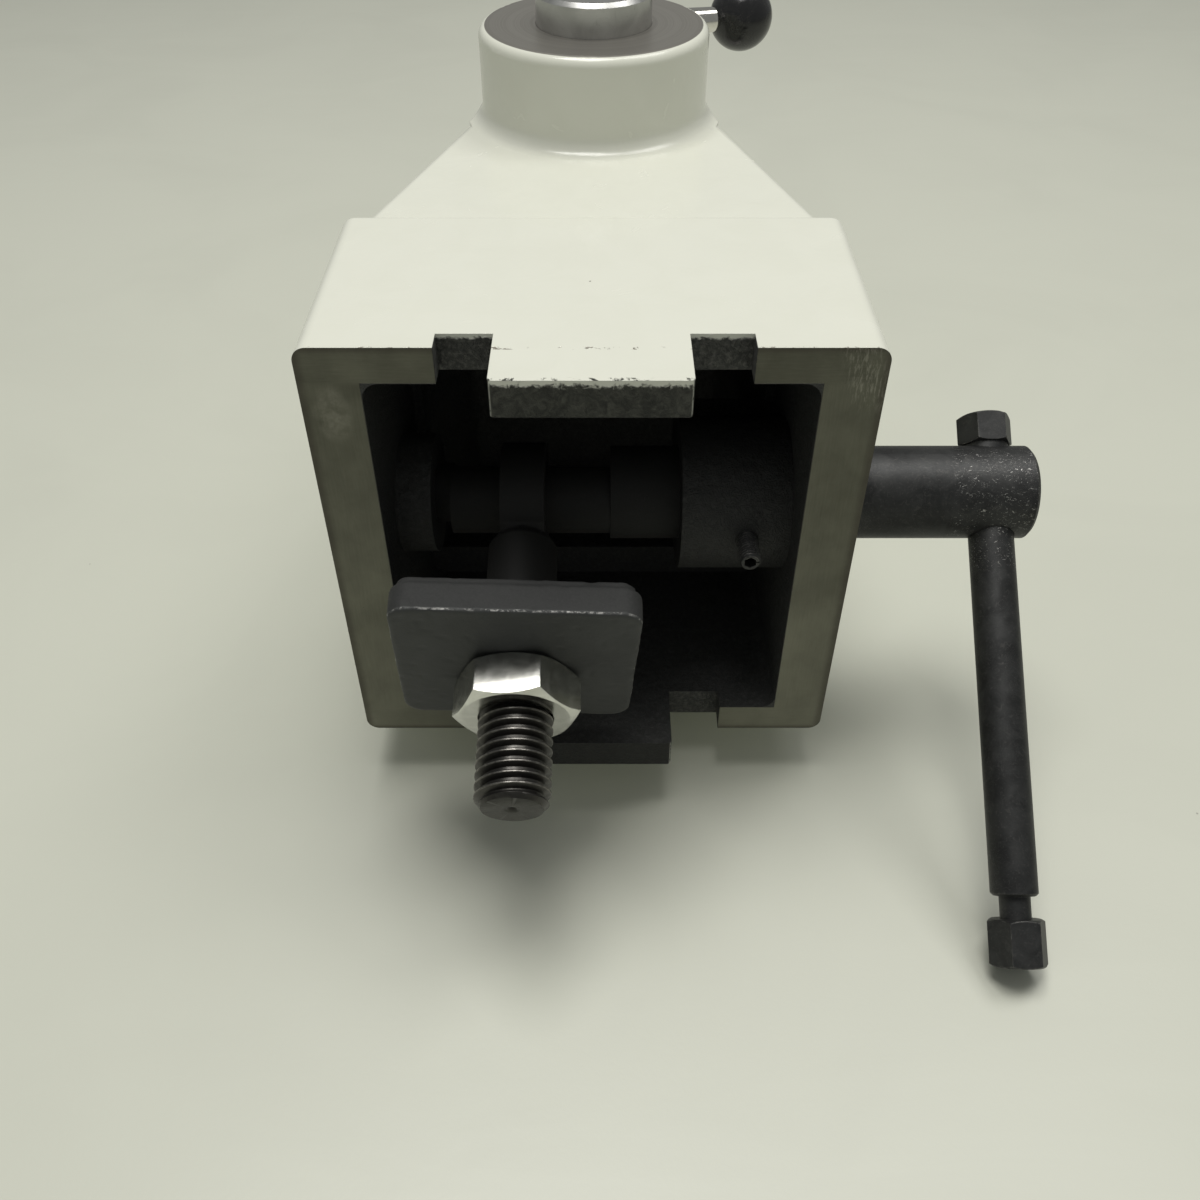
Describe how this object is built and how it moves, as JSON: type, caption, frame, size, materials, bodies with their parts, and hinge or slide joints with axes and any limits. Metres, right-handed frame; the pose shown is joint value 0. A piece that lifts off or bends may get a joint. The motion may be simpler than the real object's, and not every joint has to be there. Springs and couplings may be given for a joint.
{
  "type": "wood lathe tailstock",
  "caption": "Cast tailstock of a small wood lathe: hollow base with bed tongues and an eccentric cam clamp, and a barrel with a sliding quill, lead screw and handwheel.",
  "frame": {"origin": "centre of the bed gap, on the machined bed face, under the clamp shaft", "axes": "-Y leaves the bed face towards the bed, +Z along the quill towards its nose, +X the clamp lever side; the part lies on the flat face of its handwheel"},
  "size_m": [0.1631, 0.2575, 0.1541],
  "materials": {
    "casting": "gloss ivory paint on cast iron, bare machined bed face",
    "blackened_steel": "black oxide, scuffed",
    "bolt_steel": "black oxide with oil, cut thread",
    "plate_iron": "dark, rough, with bare edges",
    "bright_steel": "bright zinc plate",
    "ground_steel": "ground",
    "bronze": "turned bronze",
    "machined_iron": "turned and polished",
    "arm_steel": "nickel plate",
    "black_plastic": "moulded black"
  },
  "bodies": {
    "casting": {"tailstock_body": "casting", "shaft_retaining_screw": "blackened_steel", "screw_retainer": "machined_iron", "retainer_screws": "blackened_steel", "thrust_washer_inner": "bronze", "thrust_washer_outer": "bronze", "quill_key_screw": "blackened_steel", "quill_key_locknut": "bright_steel"},
    "clamp_shaft": {"cam_shaft": "blackened_steel"},
    "lever": {"lever_bar": "blackened_steel", "lever_cap": "blackened_steel"},
    "bolt": {"clamp_bolt": "bolt_steel"},
    "plate": {"clamp_plate": "plate_iron"},
    "nut": {"clamp_nut": "bright_steel"},
    "quill": {"quill": "ground_steel", "quill_nut": "bronze"},
    "wheel": {"handwheel": "machined_iron", "handwheel_key": "ground_steel", "handwheel_washer": "bright_steel", "handwheel_nut": "bright_steel", "lead_screw": "ground_steel"},
    "lock": {"quill_lock_stud": "blackened_steel", "quill_lock_arm": "arm_steel", "quill_lock_knob": "black_plastic"},
    "lock_pad": {"quill_lock_pad": "bronze"}
  },
  "joints": [
    {"name": "clamp_turn", "type": "hinge", "parent": "casting", "child": "clamp_shaft", "pos_m": [0, 0.027, 0], "axis": [1, 0, 0], "range_deg": [-120, 20]},
    {"name": "lever_slide", "type": "slide", "parent": "clamp_shaft", "child": "lever", "axis": [0, 0.7997, 0.6004], "range_m": [0, 0.087]},
    {"name": "bolt_pivot", "type": "hinge", "parent": "clamp_shaft", "child": "bolt", "pos_m": [-0.0161, 0.024, 0], "axis": [1, 0, 0], "range_deg": [-20, 120]},
    {"name": "plate_slide", "type": "slide", "parent": "bolt", "child": "plate", "axis": [0, -0.9617, -0.274], "range_m": [-0.012, 0.018]},
    {"name": "nut_turn", "type": "hinge", "parent": "plate", "child": "nut", "pos_m": [-0.0161, 0.024, 0], "axis": [0, -0.9617, -0.274], "range_deg": [-1880, 2815]},
    {"name": "wheel_turn", "type": "hinge", "parent": "casting", "child": "wheel", "pos_m": [0, 0.127, 0], "axis": [0, 0, 1], "range_deg": [-850, 5527]},
    {"name": "quill_slide", "type": "slide", "parent": "casting", "child": "quill", "axis": [0, 0, 1], "range_m": [-0.006, 0.039]},
    {"name": "lock_turn", "type": "hinge", "parent": "casting", "child": "lock", "pos_m": [0, 0.127, 0.062], "axis": [0, -1, 0], "range_deg": [-30, 60]},
    {"name": "pad_slide", "type": "slide", "parent": "casting", "child": "lock_pad", "axis": [0, -1, 0], "range_m": [-0.00013, 0.00026]}
  ],
  "couplings": [
    {"joint": "bolt_pivot", "follows": "clamp_turn", "ratio": -1},
    {"joint": "nut_turn", "follows": "plate_slide", "rad_per_m": 2721.1},
    {"joint": "quill_slide", "follows": "wheel_turn", "m_per_rad": 0.00040425},
    {"joint": "pad_slide", "follows": "lock_turn", "m_per_rad": 0.00023873}
  ]
}
